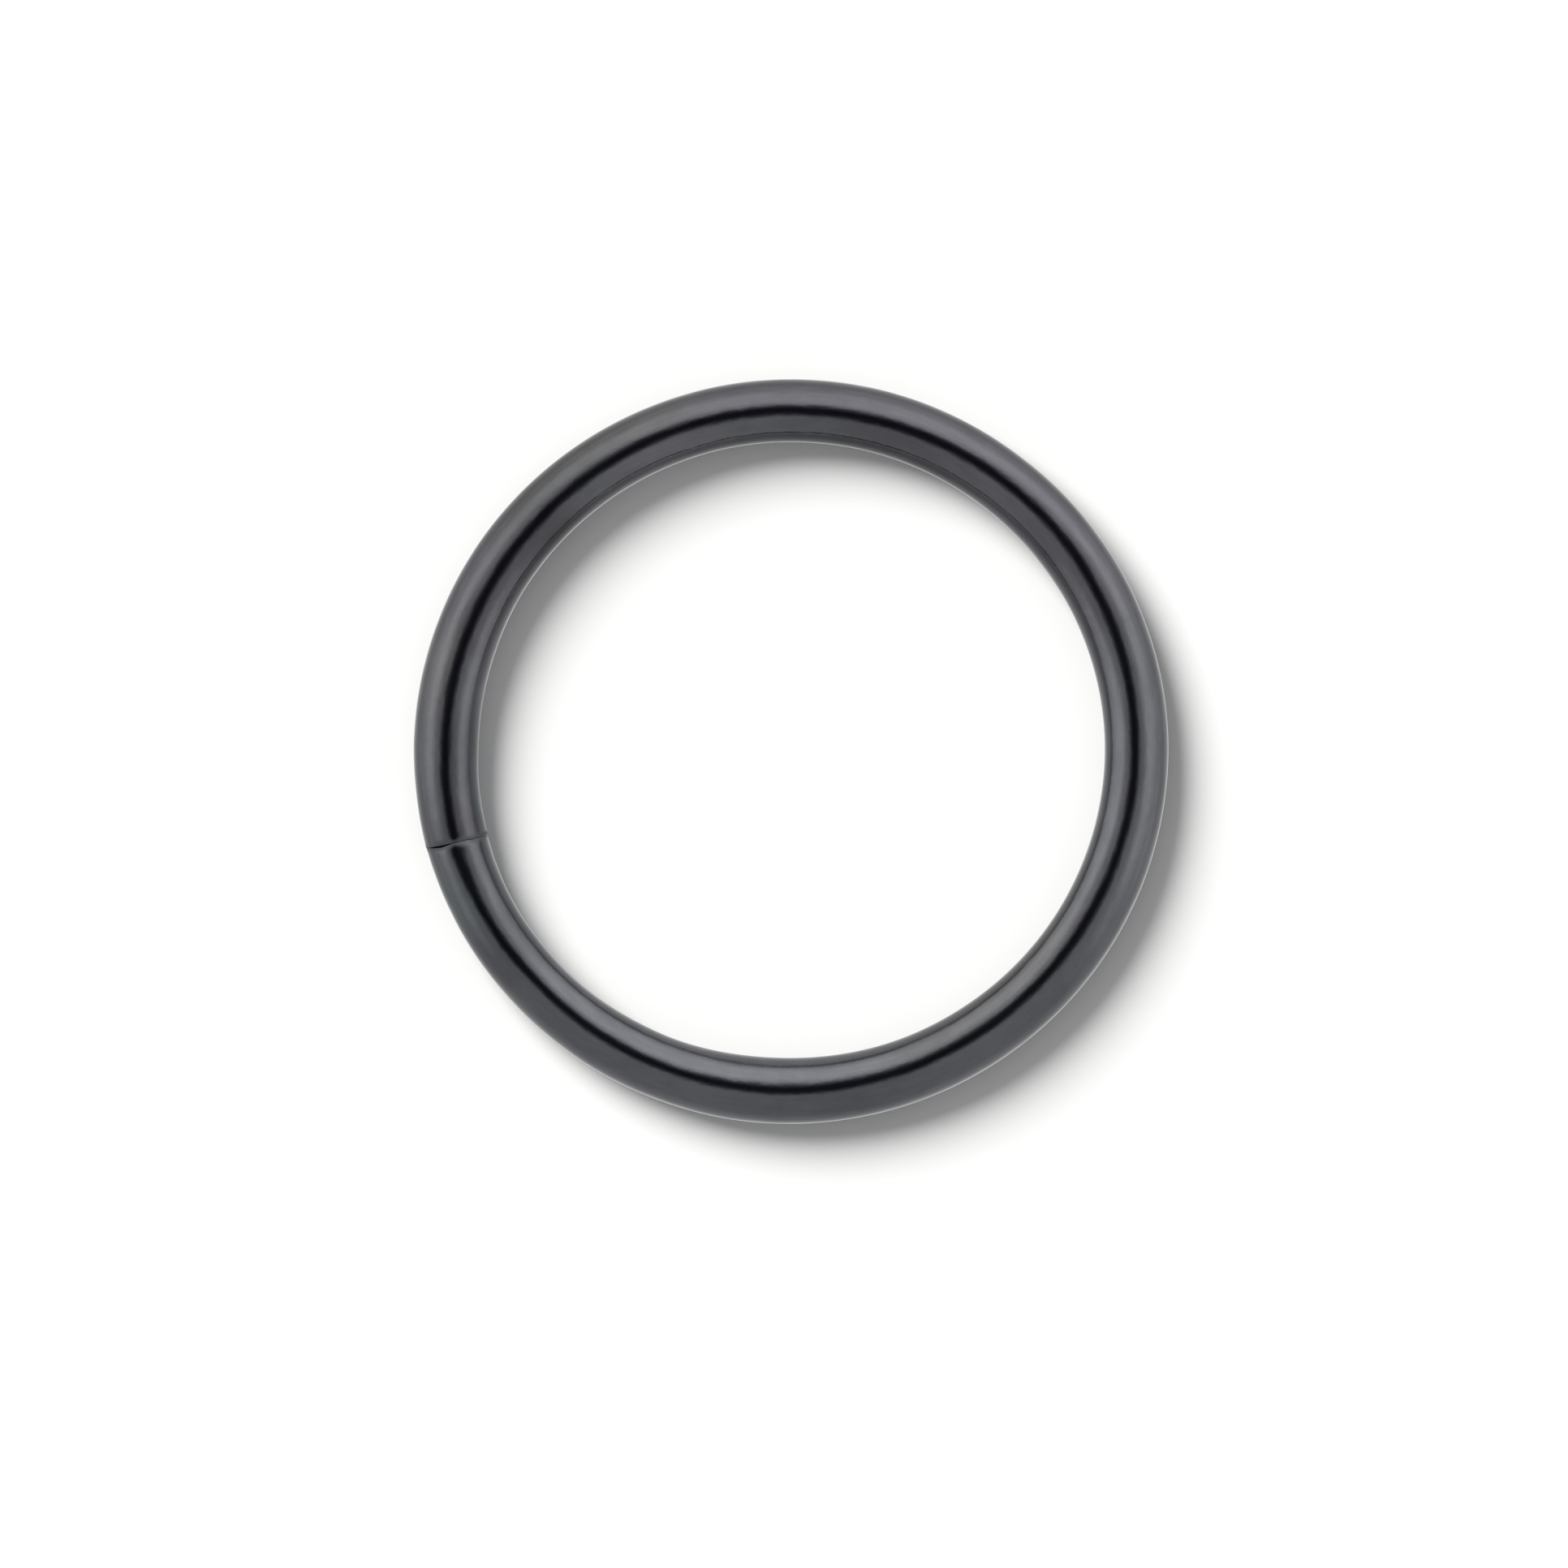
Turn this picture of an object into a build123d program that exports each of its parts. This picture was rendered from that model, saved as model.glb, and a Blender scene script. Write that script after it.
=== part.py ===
"""Seam ring: one length of round bar, bent into a circle that closes on itself.

The ring is one solid. Its two cut ends meet in a radial seam with a hairline
between them, and they are opened by twisting one sideways past the other. That has
sprung the circle a little, so the ring is slightly wider through the seam.

Units are millimetres. The ring lies on its side, as it rests when it isn't worn:
its axis is Z, its underside touches Z = 0, and the origin is in the middle.
"""

from build123d import *
from math import degrees, sqrt
import os

# The bar, and the circle that it is bent to
wire_diameter = 1.02  # round bar of 18 gauge
inner_diameter = 10.0  # clear width inside the closed ring, the short way
sprung_width = 0.16  # how much wider it is the long way, through the seam

# The seam
seam_angle = 195.0  # its place on the ring, in degrees from +X towards +Y
seam_gap = 0.02  # hairline between the two ends, measured along the middle of the bar
end_rounding = 0.04  # radius that polishing leaves on the edge of each cut end

# The middle of the bar, from the middle of the ring, the short way and the long way
wire_radius = wire_diameter / 2
short_radius = inner_diameter / 2 + wire_radius
long_radius = short_radius + sprung_width / 2

# Quarter arcs make the sprung circle: tight ones at its far ends, wide ones between.
# Each has its own centre, off the ring's middle, so that they join without a kink.
centre_shift = (long_radius - short_radius) / (2 - sqrt(2))
tight_radius = long_radius - centre_shift
wide_radius = short_radius + centre_shift
half_gap = degrees(seam_gap / tight_radius) / 2

# The bar's round section follows the bend from one cut end round to the other
with BuildPart() as ring_wire:
    with BuildLine(Plane.XY.offset(wire_radius).rotated((0, 0, seam_angle))) as bend:
        CenterArc((centre_shift, 0), tight_radius, half_gap, 45 - half_gap)
        CenterArc((0, -centre_shift), wide_radius, 45, 90)
        CenterArc((-centre_shift, 0), tight_radius, 135, 90)
        CenterArc((0, centre_shift), wide_radius, 225, 90)
        CenterArc((centre_shift, 0), tight_radius, 315, 45 - half_gap)
    with BuildSketch(Plane(origin=bend.wire() @ 0, z_dir=bend.wire() % 0)):
        Circle(wire_radius)
    sweep()
    cut_ends = ring_wire.faces().filter_by(GeomType.PLANE)
    fillet(cut_ends.edges(), radius=end_rounding)

os.makedirs("parts", exist_ok=True)
ring_wire.part.label = "ring_wire"
export_step(ring_wire.part, "parts/ring_wire.step")
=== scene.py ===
"""Seam ring in polished black steel, dressed round its CAD frame.

One round steel bar is bent into a circle and cut once. It lies on its side on a pale
table, under soft studio light. The file is laid out as a Blender add-on and is run as
a script. Lengths are in metres, in the frame of the CAD model: the ring's axis is Z,
its underside touches Z = 0, and the origin is in its middle.
"""

from math import atan2, cos, degrees, exp, hypot, pi, radians, sin, sqrt, tau

import bmesh
import bpy
from bpy.props import FloatProperty, FloatVectorProperty, PointerProperty
from mathutils import Matrix, Vector


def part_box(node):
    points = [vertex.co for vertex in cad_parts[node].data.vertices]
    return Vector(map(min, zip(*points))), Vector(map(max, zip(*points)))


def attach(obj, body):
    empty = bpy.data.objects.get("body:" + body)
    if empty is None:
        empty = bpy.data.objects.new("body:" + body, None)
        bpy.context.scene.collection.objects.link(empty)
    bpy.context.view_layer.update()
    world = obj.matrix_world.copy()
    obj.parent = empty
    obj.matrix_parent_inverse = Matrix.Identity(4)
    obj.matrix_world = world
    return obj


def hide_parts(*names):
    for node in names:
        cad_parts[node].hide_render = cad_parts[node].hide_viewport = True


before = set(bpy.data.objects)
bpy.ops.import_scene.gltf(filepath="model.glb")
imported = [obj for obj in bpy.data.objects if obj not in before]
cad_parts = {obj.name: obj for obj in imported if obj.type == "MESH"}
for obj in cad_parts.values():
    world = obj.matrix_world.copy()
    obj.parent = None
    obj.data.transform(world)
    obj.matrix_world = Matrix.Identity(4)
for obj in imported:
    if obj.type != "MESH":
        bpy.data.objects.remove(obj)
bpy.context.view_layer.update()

bl_info = {
    "name": "Seam Ring",
    "version": (1, 0, 0),
    "blender": (4, 5, 0),
    "location": "3D View > Sidebar > Seam Ring",
    "description": "A polished black seam ring for a piercing, and the studio round it",
    "category": "Object",
}

RING_LOW, RING_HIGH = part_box("ring_wire")

# The seam's place on the ring, from +X towards +Y, as the CAD model has it
SEAM_ANGLE = radians(195)

# How finely the bar is cut into faces: round its section, and along it in five runs,
# each with its share of the length and its steps. The first and last run have one step,
# for the rounding of the cut edges, and those next to them are the fine ones.
SECTION_SIDES = 96
RUNS_ALONG_BAR = ((0.006, 1), (0.010, 16), (0.968, 480), (0.010, 16), (0.006, 1))
ROUNDING_STEPS = 10

# The bar's corners and faces are listed in order along this slanting way
LISTING_WAY = Vector((1.0, 0.377, 0.149))

MICROMETRE = 1e-6

# How far the flattening of the bar's top reaches to either side, in bar radii, and how much
# the seam leans, so that the pale floor doesn't show through the hairline
FLATTENING_REACH = 0.3
SEAM_LEAN = 0.04

# The finish: how deep its ripples are, how much its polishing lines change the roughness,
# how much duller the cut faces are, and the greenish tint of the inner edge by the seam
RIPPLE_DEPTH = 8 * MICROMETRE
LINE_ROUGHNESS = 0.08
CUT_DULLNESS = 0.25
SEAM_TINT = (0.92, 1.0, 0.99, 1)

# A colour ramp holds nothing above 1, so it holds shares of this
RAMP_TOP = 2

# The floor, and how bright the ring mirrors it: in front of the ring, behind it, and in
# the ring's own middle, which is dim round a place a little behind the axis
FLOOR_RADIUS = 1.0
FLOOR_SIDES = 96
MIRRORED_IN_FRONT = 0.84
MIRRORED_BEHIND = 1.40
MIRRORED_IN_MIDDLE = 0.5
DIM_PLACE = (0, 0.0018, 0)

# The light that the ring mirrors: what comes from all round, and what the panels behind
# and beside it add. The table gets a share of white from all round.
SKY_BRIGHTNESS = 0.84
PANEL_BEHIND = 1.25
PANELS_BESIDE = 1.18
LIGHT_ON_TABLE = 0.355

# The dark lens overhead: its tilt toward the back, where it begins and where it is darkest,
# how dark it is there, and its bluish gleam
LENS_TILT = radians(1)
LENS_EDGE = radians(25.5)
LENS_CORE = radians(2)
LENS_DARKEST = 0.045
LENS_GLEAM = (0.97, 1.0, 1.25, 1)
WHITE = (1, 1, 1, 1)

# The lamp: how wide it looks, how high it stands, and on which side, from +X towards +Y
LAMP_WIDTH = radians(34)
LAMP_ELEVATION = radians(42)
LAMP_AZIMUTH = radians(135)

# The photograph's frame in pixels, and where the middle of the ring falls in it
PHOTO_WIDTH = 1932
RING_PLACE_IN_PHOTO = (974.1, 925.45)

# The camera's sensor, in millimetres, and how near it sees, in metres
SENSOR_WIDTH = 36
NEAREST_SEEN = 0.001


def middle_line_radii():
    """How far the middle of the bar is from the ring's middle, the short way and the long way.

    The long way goes through the seam, so the node's box sees both ways at an angle.
    """
    bar = RING_HIGH.z - RING_LOW.z
    half_x = (RING_HIGH.x - RING_LOW.x - bar) / 2
    half_y = (RING_HIGH.y - RING_LOW.y - bar) / 2
    added = half_x**2 + half_y**2
    taken = (half_x**2 - half_y**2) / cos(2 * SEAM_ANGLE)
    return sqrt((added - taken) / 2), sqrt((added + taken) / 2)


SHORT_RADIUS, LONG_RADIUS = middle_line_radii()


class RingBarSettings(bpy.types.PropertyGroup):
    """Sizes of the bar and of its seam."""

    bar_diameter: FloatProperty(
        name="Bar Diameter",
        description="Thickness of the round bar",
        default=RING_HIGH.z - RING_LOW.z,
        unit="LENGTH",
        precision=5,
    )
    short_radius: FloatProperty(
        name="Short Radius",
        description="From the ring's middle to the middle of the bar, the short way",
        default=SHORT_RADIUS,
        unit="LENGTH",
        precision=5,
    )
    long_radius: FloatProperty(
        name="Long Radius",
        description="From the ring's middle to the middle of the bar, through the seam",
        default=LONG_RADIUS,
        unit="LENGTH",
        precision=5,
    )
    seam_gap: FloatProperty(
        name="Seam Gap",
        description="Hairline between the two cut ends",
        default=0.00002,
        unit="LENGTH",
        precision=6,
    )
    end_rounding: FloatProperty(
        name="End Rounding",
        description="How far polishing has rounded each cut end, along the bar",
        default=0.00012,
        unit="LENGTH",
        precision=6,
    )


class RingFinishSettings(bpy.types.PropertyGroup):
    """Colours and polish of the black steel."""

    steel_colour: FloatVectorProperty(
        name="Steel Colour",
        description="The coating where it is plain",
        default=(0.0885, 0.0900, 0.0970),
        size=3,
        subtype="COLOR",
        min=0,
        max=1,
    )
    polish: FloatProperty(
        name="Roughness",
        description="How far the polish is from a mirror",
        default=0.13,
        subtype="FACTOR",
        min=0,
        max=1,
    )


class RingStudioSettings(bpy.types.PropertyGroup):
    """The table, the light and the camera."""

    floor_colour: FloatVectorProperty(
        name="Floor Colour",
        description="The pale table that the ring lies on",
        default=(0.90, 0.90, 0.88),
        size=3,
        subtype="COLOR",
        min=0,
        max=1,
    )
    key_strength: FloatProperty(
        name="Key Strength",
        description="Strength of the soft lamp at the upper left",
        default=3.9,
        min=0,
    )
    camera_distance: FloatProperty(
        name="Camera Distance",
        description="From the middle of the ring up to the camera, which looks straight down",
        default=0.330,
        unit="LENGTH",
        precision=4,
    )
    picture_width: FloatProperty(
        name="Picture Width",
        description="Width of what the camera sees at the ring",
        default=0.025383,
        unit="LENGTH",
        precision=5,
    )


# The real bar isn't quite even, from drawing, bending and squeezing its ends together.
#   degrees on from the seam, how far its middle lies outward (micrometres), how much is
#   added to its half width (micrometres), how far its ridge lies outward (bar radii),
#   how much its top is flattened (micrometres), how much its inner flank bulges (share)
BAR_UNEVENNESS = (
    (0, 6, -8, 0.080, 16, 0.000),
    (6, 7, -14, 0.053, 9, 0.000),
    (12, 9, -19, 0.030, 2, -0.015),
    (30, 1, -20, -0.056, 0, -0.035),
    (50, -3, -1, -0.054, -3, -0.018),
    (72, -14, 24, -0.030, -3, 0.026),
    (100, 3, 15, -0.075, -2, 0.000),
    (135, 14, 8, -0.088, 2, -0.030),
    (165, 16, 5, -0.060, -2, -0.028),
    (190, 5, 4, -0.015, 0, 0.017),
    (204, -9, 1, 0.043, 0, 0.036),
    (218, -19, -1, 0.038, 0, 0.032),
    (245, -5, 0, 0.000, 0, 0.026),
    (270, 7, -1, -0.014, 0, 0.012),
    (312, 9, 7, -0.027, 2, 0.028),
    (332, -3, 15, 0.008, 2, 0.028),
    (343, -6, 16, 0.020, 0, 0.016),
    (352, -1, 2, 0.034, 0, 0.012),
    (360, 4, 2, 0.045, 0, 0.000),
)

# The seam isn't even either: the ends touch in the middle and gape toward the outside,
# and polishing has rounded them more in some places than in others.
#   place across the bar, from its inner side to its outer side (bar radii), how far on
#   the hairline lies there and half its width (micrometres), how steeply the ends before
#   and after it fall off to it (rise over run)
SEAM_UNEVENNESS = (
    (-1.0, 22, 0.2, 0.00, 0.00),
    (-0.8, 30, 4, 0.18, 0.18),
    (-0.6, 32, 5, 0.38, 0.38),
    (-0.3, 16, 2, 0.32, 0.32),
    (0.1, 8, 1, 0.06, 0.14),
    (0.3, 14, 12, 0.18, 0.20),
    (0.5, 20, 17, 0.30, 0.20),
    (0.7, 8, 13, 0.28, 0.20),
    (0.9, -6, 3, 0.08, 0.08),
    (1.0, -12, 0.2, 0.00, 0.00),
)

# The black coating leans to one hue or another by patches. Its paleness, deeper or paler by patch,
# is partly the coating's own and partly painted reflection: brighter and darker mirrored light put
# into the colour. A tint is a share of the plain steel's red, green and blue.
TINTS = {
    "plain": (1.00, 1.00, 1.01),
    "green": (0.94, 1.01, 0.99),
    "cool": (0.98, 1.00, 1.00),
    "purple": (1.02, 0.99, 1.02),
    "warm": (1.01, 1.00, 0.95),
}

#     degrees on from the seam, the tint and the paleness (partly painted reflection) on the
#     ring's outside, and the same on its inside
COATING_AND_REFLECTION_PATCHES = (
    (0, "plain", 1.00, "plain", 0.92),
    (9, "green", 1.05, "plain", 0.97),
    (20, "plain", 0.89, "plain", 0.92),
    (31, "plain", 1.05, "plain", 1.14),
    (60, "plain", 1.08, "plain", 1.20),
    (73, "cool", 1.01, "plain", 1.20),
    (85, "plain", 0.95, "plain", 1.20),
    (105, "plain", 1.15, "warm", 1.10),
    (122, "plain", 1.07, "warm", 1.15),
    (147, "plain", 1.15, "plain", 1.13),
    (165, "plain", 1.04, "plain", 1.08),
    (180, "plain", 1.06, "plain", 1.10),
    (200, "purple", 1.12, "purple", 1.00),
    (212, "purple", 1.06, "purple", 1.14),
    (240, "purple", 1.03, "purple", 0.92),
    (251, "purple", 1.00, "cool", 1.01),
    (262, "purple", 0.96, "plain", 1.10),
    (280, "warm", 1.01, "purple", 1.33),
    (291, "warm", 0.92, "plain", 1.22),
    (301, "warm", 0.85, "purple", 0.85),
    (318, "purple", 1.02, "purple", 1.08),
    (330, "warm", 1.12, "plain", 1.12),
    (345, "plain", 1.02, "cool", 0.84),
    (360, "plain", 0.85, "purple", 0.80),
)


def eased(share):
    """A share from 0 to 1 with soft ends."""
    share = min(max(share, 0), 1)
    return share * share * (3 - 2 * share)


def from_table(table, place):
    """The row of the table at that place in its first column, eased from row to row."""
    for row, next_row in zip(table, table[1:]):
        if place <= next_row[0]:
            share = eased((place - row[0]) / (next_row[0] - row[0]))
            return [before + (after - before) * share for before, after in zip(row[1:], next_row[1:])]
    return table[-1][1:]


def bend_bar(ring):
    """The skin of the bar: a round section turned about Z from one cut end to the other."""
    bar_radius = ring.bar_diameter / 2
    gap_angle = ring.seam_gap / ring.short_radius

    bm = bmesh.new()
    bmesh.ops.create_circle(bm, cap_ends=False, radius=bar_radius, segments=SECTION_SIDES)
    bmesh.ops.rotate(bm, verts=bm.verts, matrix=Matrix.Rotation(pi / 2, 3, "X"))
    bmesh.ops.translate(bm, verts=bm.verts, vec=(ring.short_radius, 0, bar_radius))
    bmesh.ops.rotate(bm, verts=bm.verts, matrix=Matrix.Rotation(SEAM_ANGLE + gap_angle / 2, 3, "Z"))
    front = bm.verts[:] + bm.edges[:]
    for share, steps in RUNS_ALONG_BAR:
        angle = (tau - gap_angle) * share
        front = bmesh.ops.spin(bm, geom=front, axis=(0, 0, 1), angle=angle, steps=steps)["geom_last"]
    cut_edges = [edge for edge in bm.edges if edge.is_boundary]
    bmesh.ops.holes_fill(bm, edges=cut_edges, sides=SECTION_SIDES)
    bmesh.ops.recalc_face_normals(bm, faces=bm.faces)
    bmesh.ops.bevel(
        bm,
        geom=cut_edges,
        offset=ring.end_rounding,
        offset_type="OFFSET",
        segments=ROUNDING_STEPS,
        profile=0.5,
        affect="EDGES",
        material=-1,
    )
    for face in bm.faces:
        face.smooth = len(face.verts) == 4

    # Bevelling lists corners and faces in an order that changes from run to run
    bm.verts.sort(key=lambda vert: vert.co.dot(LISTING_WAY))
    bm.faces.sort(key=lambda face: face.calc_center_median().dot(LISTING_WAY))
    return bm


def wear_bar(bm, ring):
    """Move the skin to the real bar's small unevenness, and spring the circle open along the seam."""
    bar_radius = ring.bar_diameter / 2
    seam_way = Vector((cos(SEAM_ANGLE), sin(SEAM_ANGLE), 0))
    spring = ring.long_radius / ring.short_radius - 1
    bar_place = bm.verts.layers.float_vector.new("bar_place")
    for vert in bm.verts:
        ring_angle = atan2(vert.co.y, vert.co.x)
        outward_way = Vector((cos(ring_angle), sin(ring_angle), 0))
        outward = hypot(vert.co.x, vert.co.y) - ring.short_radius
        height = vert.co.z - bar_radius
        turn = (ring_angle - SEAM_ANGLE) % tau
        vert[bar_place] = (outward / bar_radius, height / bar_radius, turn / tau)

        # The bevel's quarter round becomes a long low one, whose depth grows with the square
        # of the way along the bar
        reach = hypot(outward, height)
        outward_share, height_share = outward / reach, height / reach
        place_on, half_hairline, fall_before, fall_after = from_table(SEAM_UNEVENNESS, outward_share)
        fall = fall_after if turn < pi else fall_before
        inward = (bar_radius - reach) / ring.end_rounding
        grown = (bar_radius - fall * ring.end_rounding / 2 * inward * (2 - inward)) / reach

        # Where the ridge lies outward the outer flank is fuller above and the inner one below.
        # A bulge fills the inner flank near its top and its foot and hollows it between them.
        shift, widening, ridge, flattened, bulge = from_table(BAR_UNEVENNESS, degrees(turn))
        grown *= 1 + ridge * outward_share * height_share
        if outward_share < 0:
            half_way_up = (2 * outward_share * height_share) ** 4
            grown *= 1 + bulge * half_way_up * (height_share**2 - outward_share**2)
        widened = grown * (1 + widening * MICROMETRE / bar_radius)
        middle = outward_way * (ring.short_radius + shift * MICROMETRE)
        middle += seam_way * (spring * middle.dot(seam_way))
        vert.co = middle + outward_way * outward * widened
        vert.co.z = bar_radius + height * grown
        if height_share > 0:
            vert.co.z -= flattened * MICROMETRE * exp(-((outward_share / FLATTENING_REACH) ** 2))

        # Near the seam the bar is stretched or drawn back to the hairline, which leans a little
        seam_side = 1 if turn < pi else -1
        from_seam = min(turn, tau - turn) * ring.short_radius
        drawn_on = place_on * MICROMETRE + SEAM_LEAN * height
        drawn_on += seam_side * (half_hairline * MICROMETRE - ring.seam_gap / 2)
        drawn_on *= 1 - eased((from_seam - ring.end_rounding) / (2 * ring.end_rounding))
        vert.co += Vector((-outward_way.y, outward_way.x, 0)) * drawn_on


def new_piece(name, bm, material):
    """An object at the origin that holds the mesh and one material."""
    mesh = bpy.data.meshes.new(name)
    bm.to_mesh(mesh)
    bm.free()
    mesh.materials.append(material)
    piece = bpy.data.objects.new(name, mesh)
    bpy.context.scene.collection.objects.link(piece)
    return piece


class NodeWriter:
    """Adds nodes to a tree, one call for each, and links them as they are added."""

    def __init__(self, tree):
        self.tree = tree

    def add(self, kind, *inputs, **settings):
        """A node of that kind. Each input is None, a plain value, or another node's output."""
        node = self.tree.nodes.new(kind)
        for name, value in settings.items():
            setattr(node, name, value)
        for socket, value in zip(node.inputs, inputs):
            if isinstance(value, bpy.types.NodeSocket):
                self.tree.links.new(value, socket)
            elif value is not None:
                socket.default_value = value
        return node

    def math(self, operation, *inputs):
        """A sum, product or the like of plain values."""
        return self.add("ShaderNodeMath", *inputs, operation=operation).outputs[0]

    def around_one(self, noise, spread):
        """A factor round 1 from noise that runs from 0 to 1."""
        return self.math("MULTIPLY_ADD", noise, spread, 1 - spread / 2)

    def smooth_step(self, value, low, high, to_low=0.0, to_high=1.0):
        """A value eased from to_low to to_high while the given one goes from low to high."""
        inputs = (value, low, high, to_low, to_high)
        return self.add("ShaderNodeMapRange", *inputs, interpolation_type="SMOOTHSTEP").outputs[0]

    def parts(self, vector):
        """The three components of a vector."""
        return self.add("ShaderNodeSeparateXYZ", vector).outputs

    def vector(self, operation, *inputs):
        """A product, length or the like of vectors."""
        node = self.add("ShaderNodeVectorMath", *inputs, operation=operation)
        gives_number = operation in ("LENGTH", "DISTANCE")
        return node.outputs["Value" if gives_number else "Vector"]

    def noise(self, vector, stretch, detail, roughness=0.55):
        """Soft noise from 0 to 1, with features about one unit across once stretched."""
        settings = {"noise_dimensions": "3D", "normalize": True}
        inputs = (self.vector("MULTIPLY", vector, stretch), None, 1.0, detail, roughness)
        return self.add("ShaderNodeTexNoise", *inputs, **settings).outputs[0]

    def mix(self, factor, first, second, blend_type="MIX"):
        """The first colour where the factor is 0, and the second over it where it is 1."""
        number_and_vector_inputs = (None,) * 5
        settings = {"data_type": "RGBA", "blend_type": blend_type}
        inputs = (factor, *number_and_vector_inputs, first, second)
        return self.add("ShaderNodeMix", *inputs, **settings).outputs[2]

    def ramp(self, value, stops):
        """A colour by the value, eased from stop to stop."""
        node = self.add("ShaderNodeValToRGB", value)
        node.color_ramp.interpolation = "EASE"
        elements = node.color_ramp.elements
        elements.remove(elements[1])
        for number, (place, colour) in enumerate(stops):
            element = elements.new(place) if number else elements[0]
            element.position = place
            element.color = (*colour, 1)
        return node.outputs["Color"]


def patch_colour(tint, paleness_and_reflection):
    """The colour of a patch: the coating's hue and a paleness that is partly painted reflection, as a
    colour ramp holds it.
    """
    return [share * paleness_and_reflection / RAMP_TOP for share in TINTS[tint]]


def coating_colour_with_painted_light(write, finish, place, lines):
    """The black coating's colour: its patches, whose paleness is partly painted reflection, its tint by
    the seam, painted shade at the seam's gape and its fine unevenness.
    """
    side, _, turn = write.parts(place)
    # Patches round the ring, outside and inside: the hue is the coating's, the paleness partly painted
    # reflection
    inside = write.ramp(turn, [(row[0] / 360, patch_colour(*row[3:])) for row in COATING_AND_REFLECTION_PATCHES])
    outside = write.ramp(turn, [(row[0] / 360, patch_colour(*row[1:3])) for row in COATING_AND_REFLECTION_PATCHES])
    tinted_and_reflection_patches = write.mix(write.smooth_step(side, -0.2, 0.2), inside, outside)
    plain = tuple(RAMP_TOP * share for share in finish.steel_colour)
    colour = write.vector("MULTIPLY", tinted_and_reflection_patches, plain)

    # By the seam the inner edge is greenish
    past_seam = write.smooth_step(turn, 0.08, 0.03)
    before_seam = write.smooth_step(turn, 0.94, 0.98)
    by_seam = write.math("MAXIMUM", past_seam, before_seam)
    by_edge = write.math("MULTIPLY", by_seam, write.smooth_step(side, -0.62, -0.76))
    colour = write.mix(by_edge, colour, SEAM_TINT, "MULTIPLY")

    # Painted shade: the colour is darker on the far side of the seam's gape, toward the bar's outer
    # side
    painted_seam_shade = write.smooth_step(turn, 0.0022, 0.0004, 0.0, 0.3)
    painted_seam_shade = write.math("MULTIPLY", painted_seam_shade, write.smooth_step(side, 0.25, 0.50))

    # Clouds and mottle in the coating are longer along the bar than they are wide
    clouds = write.noise(place, (1.6, 1.6, 22), 4.0, 0.8)
    mottle = write.noise(place, (2.5, 2.5, 80), 3.0, 0.7)
    shade = write.math("SUBTRACT", write.around_one(lines, 0.20), painted_seam_shade)
    shade = write.math("MULTIPLY", shade, write.around_one(clouds, 0.24))
    shade = write.math("MULTIPLY", shade, write.around_one(mottle, 0.36))
    return write.vector("SCALE", colour, None, None, shade)


def polish_roughness(write, finish, place, lines):
    """How far the polish is from a mirror, all over the bar and on its cut faces."""
    side, lift, turn = write.parts(place)
    roughness = write.math("MULTIPLY_ADD", lines, LINE_ROUGHNESS, finish.polish - LINE_ROUGHNESS / 2)

    # The inner flank is duller in the half after the seam, and more so just before the seam
    first_half = write.smooth_step(turn, 0.57, 0.50, 0.0, 0.08)
    before_seam = write.smooth_step(turn, 0.89, 0.94, 0.0, 0.15)
    dull = write.math("MAXIMUM", first_half, before_seam)
    dull = write.math("MULTIPLY", dull, write.smooth_step(side, -0.50, -0.68))
    roughness = write.math("ADD", roughness, dull)

    # The cut faces lie inside the bar's skin and are duller
    skin = write.math("ADD", write.math("MULTIPLY", side, side), write.math("MULTIPLY", lift, lift))
    cut = write.smooth_step(skin, 0.99, 0.85)
    return write.math("MULTIPLY_ADD", cut, CUT_DULLNESS, roughness)


def black_steel(finish):
    """Steel with a black coating, polished along the bar to a near mirror."""
    material = bpy.data.materials.new("black_steel")
    material.use_nodes = True
    tree = material.node_tree
    shader = tree.nodes["Principled BSDF"]
    write = NodeWriter(tree)
    place = write.add("ShaderNodeAttribute", attribute_name="bar_place").outputs["Vector"]

    # Polishing lines run along the bar. They show in its colour, its roughness and its relief.
    lines = write.noise(place, (11, 11, 30), 3.0)
    tree.links.new(coating_colour_with_painted_light(write, finish, place, lines), shader.inputs["Base Color"])
    tree.links.new(polish_roughness(write, finish, place, lines), shader.inputs["Roughness"])

    # Low ripples from bending, and the lines' own shallow grooves
    ripples = write.noise(place, (1.6, 1.6, 70), 3.0, 0.45)
    height = write.math("MULTIPLY_ADD", lines, 0.04, ripples)
    relief = write.add("ShaderNodeBump")
    relief.inputs["Distance"].default_value = RIPPLE_DEPTH
    tree.links.new(height, relief.inputs["Height"])
    tree.links.new(relief.outputs[0], shader.inputs["Normal"])
    shader.inputs["Metallic"].default_value = 1
    return material


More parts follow.
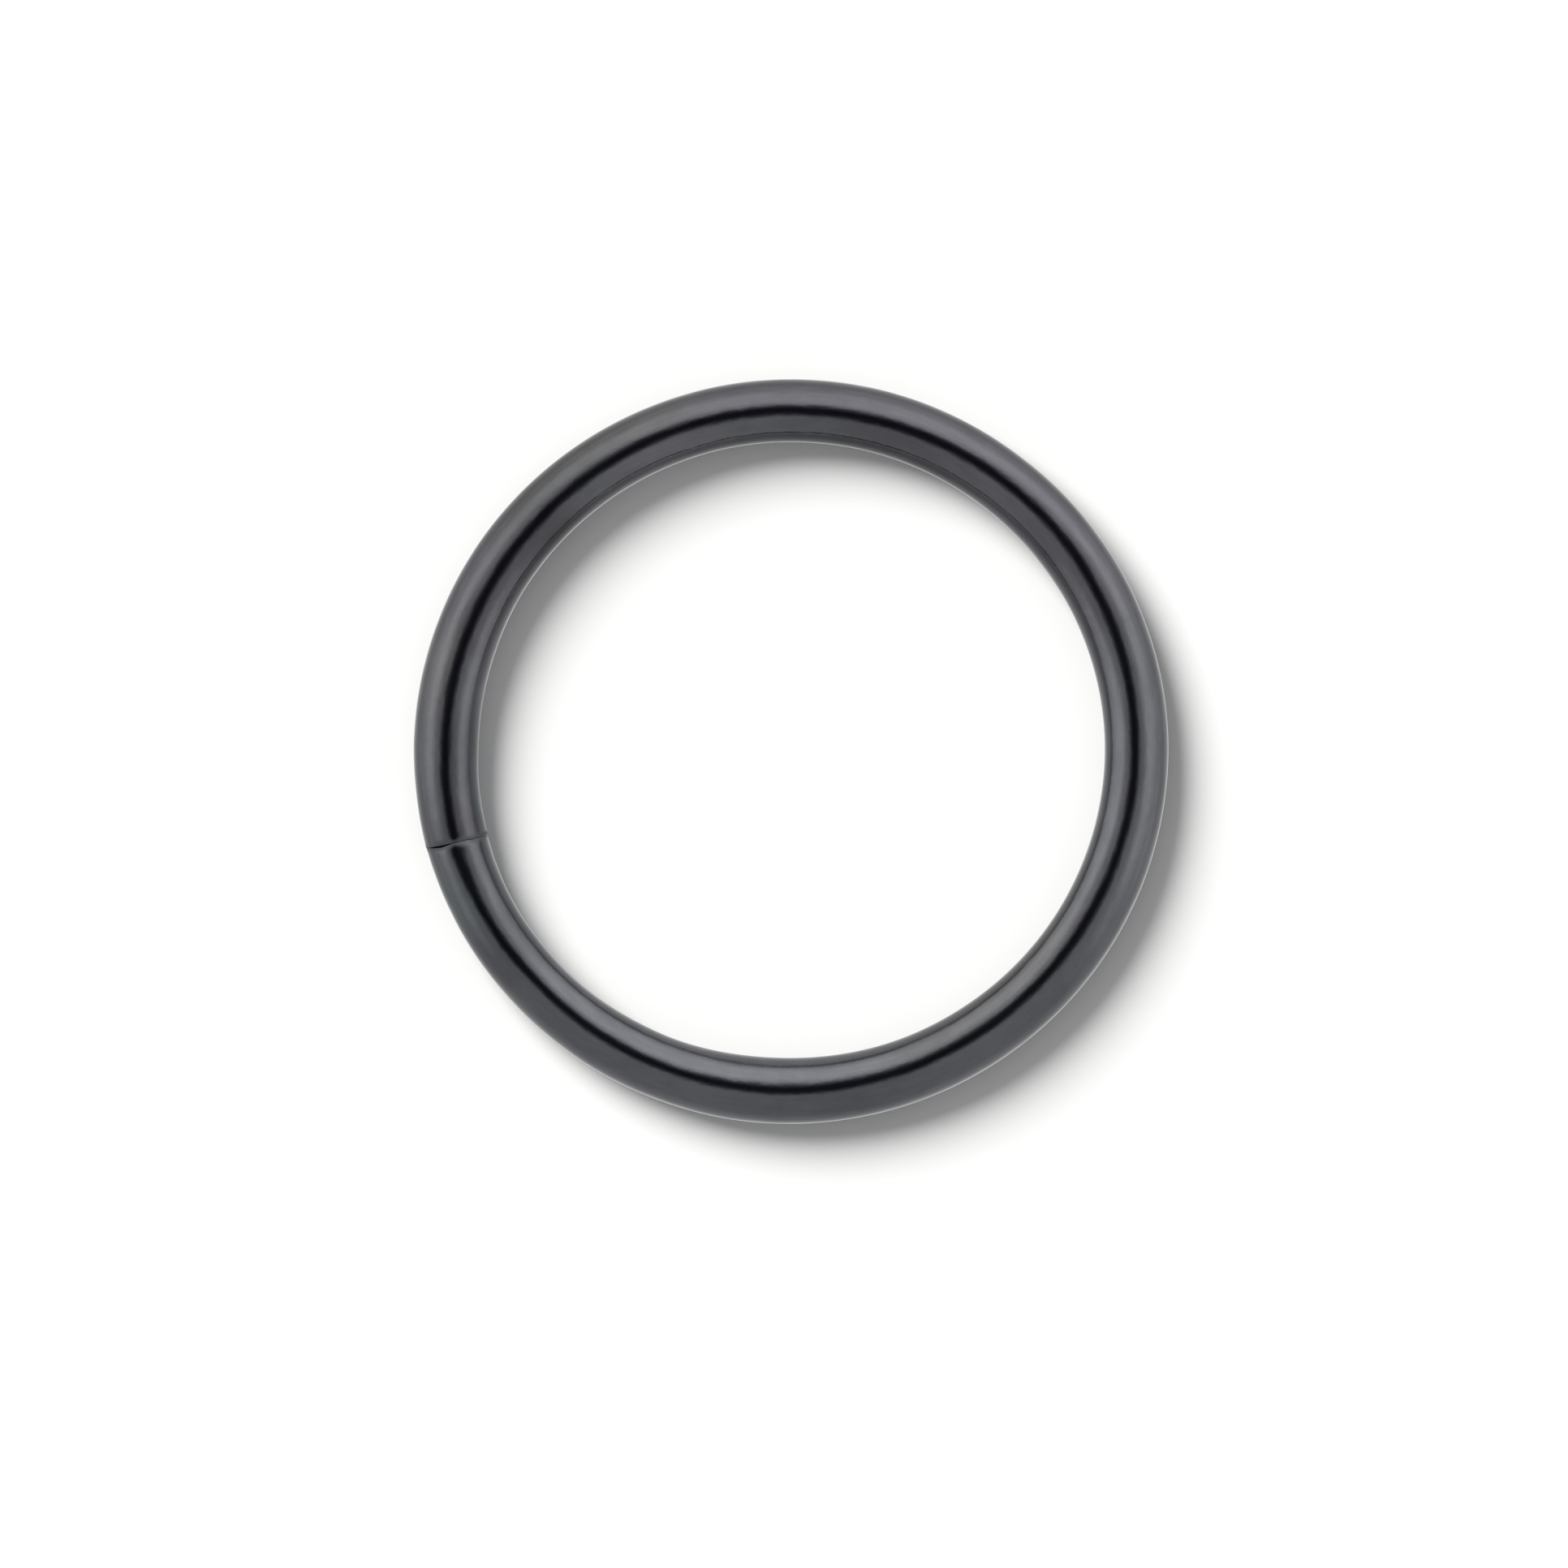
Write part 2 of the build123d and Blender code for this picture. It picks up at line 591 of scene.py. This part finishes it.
def pale_floor(studio):
    """Matt white paper, which the ring mirrors at a brightness of its own and without shadow."""
    material = bpy.data.materials.new("pale_floor")
    material.use_nodes = True
    tree = material.node_tree
    tree.nodes.clear()
    write = NodeWriter(tree)
    colour = (*studio.floor_colour, 1)
    paper = write.add("ShaderNodeBsdfDiffuse", colour).outputs[0]

    # Far from the ring the mirrored paper is dimmer in front of it and brighter behind it
    place = write.add("ShaderNodeTexCoord").outputs["Object"]
    from_middle = write.vector("LENGTH", place)
    backward = write.math("DIVIDE", write.parts(place)["Y"], from_middle)
    outer = write.smooth_step(backward, -0.8, -0.1, MIRRORED_IN_FRONT, MIRRORED_BEHIND)
    far = write.smooth_step(from_middle, 0.006, 0.014)
    strength = write.math("MULTIPLY_ADD", far, write.math("SUBTRACT", outer, 1.0), 1.0)

    # In the ring's own middle it is dim
    from_dim_place = write.vector("DISTANCE", place, DIM_PLACE)
    dim = write.smooth_step(from_dim_place, 0.0015, 0.0042, MIRRORED_IN_MIDDLE, 1.0)
    strength = write.math("MULTIPLY", strength, dim)
    mirrored = write.add("ShaderNodeEmission", WHITE, strength).outputs[0]
    rays = write.add("ShaderNodeLightPath").outputs
    seen = write.add("ShaderNodeMixShader", rays["Is Glossy Ray"], paper, mirrored).outputs[0]
    write.add("ShaderNodeOutputMaterial", seen)
    return material


def light_world():
    """Soft light all round, as the ring mirrors it: bright panels above and beside, a dark lens."""
    world = bpy.data.worlds.new("soft_studio")
    bpy.context.scene.world = world
    world.use_nodes = True
    tree = world.node_tree
    tree.nodes.clear()
    write = NodeWriter(tree)
    direction = write.add("ShaderNodeTexCoord").outputs["Generated"]
    x, y, z = write.parts(direction)
    sideways = write.math("ABSOLUTE", x)
    overhead = write.math("MAXIMUM", z, 0.01)

    # Panels: one behind the ring, past a line overhead, and one at each side
    backward = write.math("DIVIDE", y, overhead)
    behind = write.smooth_step(backward, 0.12, 0.80, 0.0, PANEL_BEHIND)
    outward = write.math("DIVIDE", sideways, overhead)
    beside = write.smooth_step(outward, 0.45, 1.30, 0.0, PANELS_BESIDE)
    turned = write.math("DIVIDE", y, write.math("MAXIMUM", sideways, 0.001))
    beside = write.math("MULTIPLY", beside, write.smooth_step(turned, -0.97, 0.16))

    # They are weaker toward the horizon
    rim = write.smooth_step(z, 0.0, 0.5, 0.45, 1.0)
    panels = write.math("MULTIPLY_ADD", write.math("MAXIMUM", behind, beside), rim, SKY_BRIGHTNESS)

    # The lens is a soft dark disc straight above
    toward_lens = write.math("MULTIPLY_ADD", y, sin(LENS_TILT), z)
    lens = write.smooth_step(toward_lens, cos(LENS_EDGE), cos(LENS_CORE), 1.0, LENS_DARKEST)
    gleam = write.mix(lens, LENS_GLEAM, WHITE)
    mirrored = write.math("MULTIPLY", panels, lens)

    rays = write.add("ShaderNodeLightPath").outputs
    strength = write.math("MULTIPLY_ADD", rays["Is Diffuse Ray"], LIGHT_ON_TABLE, rays["Is Camera Ray"])
    strength = write.math("MULTIPLY_ADD", rays["Is Glossy Ray"], mirrored, strength)
    background = write.add("ShaderNodeBackground", gleam, strength).outputs[0]
    write.add("ShaderNodeOutputWorld", background)


def light_key(studio):
    """A large soft lamp at the upper left, which throws the ring's shadow to the lower right."""
    lamp = bpy.data.lights.new("key_lamp", "SUN")
    lamp.angle = LAMP_WIDTH
    lamp.energy = studio.key_strength
    key = bpy.data.objects.new("key_lamp", lamp)
    bpy.context.scene.collection.objects.link(key)
    level = cos(LAMP_ELEVATION)
    toward = Vector((cos(LAMP_AZIMUTH) * level, sin(LAMP_AZIMUTH) * level, sin(LAMP_ELEVATION)))
    key.rotation_euler = toward.to_track_quat("Z", "Y").to_euler()
    key.visible_glossy = False


def lay_floor(studio):
    """A wide round sheet under the ring."""
    bm = bmesh.new()
    bmesh.ops.create_circle(bm, cap_ends=True, radius=FLOOR_RADIUS, segments=FLOOR_SIDES)
    floor = new_piece("floor", bm, pale_floor(studio))


def set_camera(studio):
    """The camera straight above the ring, with the ring at the photograph's place in the frame."""
    camera_data = bpy.data.cameras.new("camera")
    camera_data.sensor_width = SENSOR_WIDTH
    camera_data.lens = camera_data.sensor_width * studio.camera_distance / studio.picture_width
    camera_data.clip_start = NEAREST_SEEN
    camera = bpy.data.objects.new("camera", camera_data)
    bpy.context.scene.collection.objects.link(camera)
    pixel = studio.picture_width / PHOTO_WIDTH
    ring_right, ring_down = RING_PLACE_IN_PHOTO
    ring_middle = (RING_LOW + RING_HIGH) / 2
    camera.location = (
        ring_middle.x - (ring_right - PHOTO_WIDTH / 2) * pixel,
        ring_middle.y - (PHOTO_WIDTH / 2 - ring_down) * pixel,
        ring_middle.z + studio.camera_distance,
    )
    bpy.context.scene.camera = camera


class SEAMRING_OT_add_ring_bar(bpy.types.Operator):
    """Bend the polished bar into its ring, with a hairline between the cut ends"""

    bl_idname = "seam_ring.add_ring_bar"
    bl_label = "Add Ring Bar"

    def execute(self, context):
        ring = context.scene.ring_bar
        bm = bend_bar(ring)
        wear_bar(bm, ring)
        bar = new_piece("ring_bar", bm, black_steel(context.scene.ring_finish))
        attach(bar, "root")
        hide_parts("ring_wire")
        return {"FINISHED"}


class SEAMRING_OT_add_studio(bpy.types.Operator):
    """Lay the floor, light the scene and set the camera"""

    bl_idname = "seam_ring.add_studio"
    bl_label = "Add Studio"

    def execute(self, context):
        studio = context.scene.ring_studio
        lay_floor(studio)
        light_world()
        light_key(studio)
        set_camera(studio)
        context.scene.view_settings.view_transform = "Standard"
        return {"FINISHED"}


class SEAMRING_PT_sidebar(bpy.types.Panel):
    """The ring's settings and its operators."""

    bl_idname = "SEAMRING_PT_sidebar"
    bl_label = "Seam Ring"
    bl_space_type = "VIEW_3D"
    bl_region_type = "UI"
    bl_category = "Seam Ring"

    def draw(self, context):
        scene = context.scene
        for settings in (scene.ring_bar, scene.ring_finish, scene.ring_studio):
            box = self.layout.box()
            for name in settings.__annotations__:
                box.prop(settings, name)
        self.layout.operator(SEAMRING_OT_add_ring_bar.bl_idname)
        self.layout.operator(SEAMRING_OT_add_studio.bl_idname)


CLASSES = (
    RingBarSettings,
    RingFinishSettings,
    RingStudioSettings,
    SEAMRING_OT_add_ring_bar,
    SEAMRING_OT_add_studio,
    SEAMRING_PT_sidebar,
)


def register():
    for cls in CLASSES:
        bpy.utils.register_class(cls)
    bpy.types.Scene.ring_bar = PointerProperty(type=RingBarSettings)
    bpy.types.Scene.ring_finish = PointerProperty(type=RingFinishSettings)
    bpy.types.Scene.ring_studio = PointerProperty(type=RingStudioSettings)


def unregister():
    del bpy.types.Scene.ring_studio
    del bpy.types.Scene.ring_finish
    del bpy.types.Scene.ring_bar
    for cls in reversed(CLASSES):
        bpy.utils.unregister_class(cls)


def main():
    register()
    bpy.ops.seam_ring.add_ring_bar()
    bpy.ops.seam_ring.add_studio()


if __name__ == "__main__":
    main()
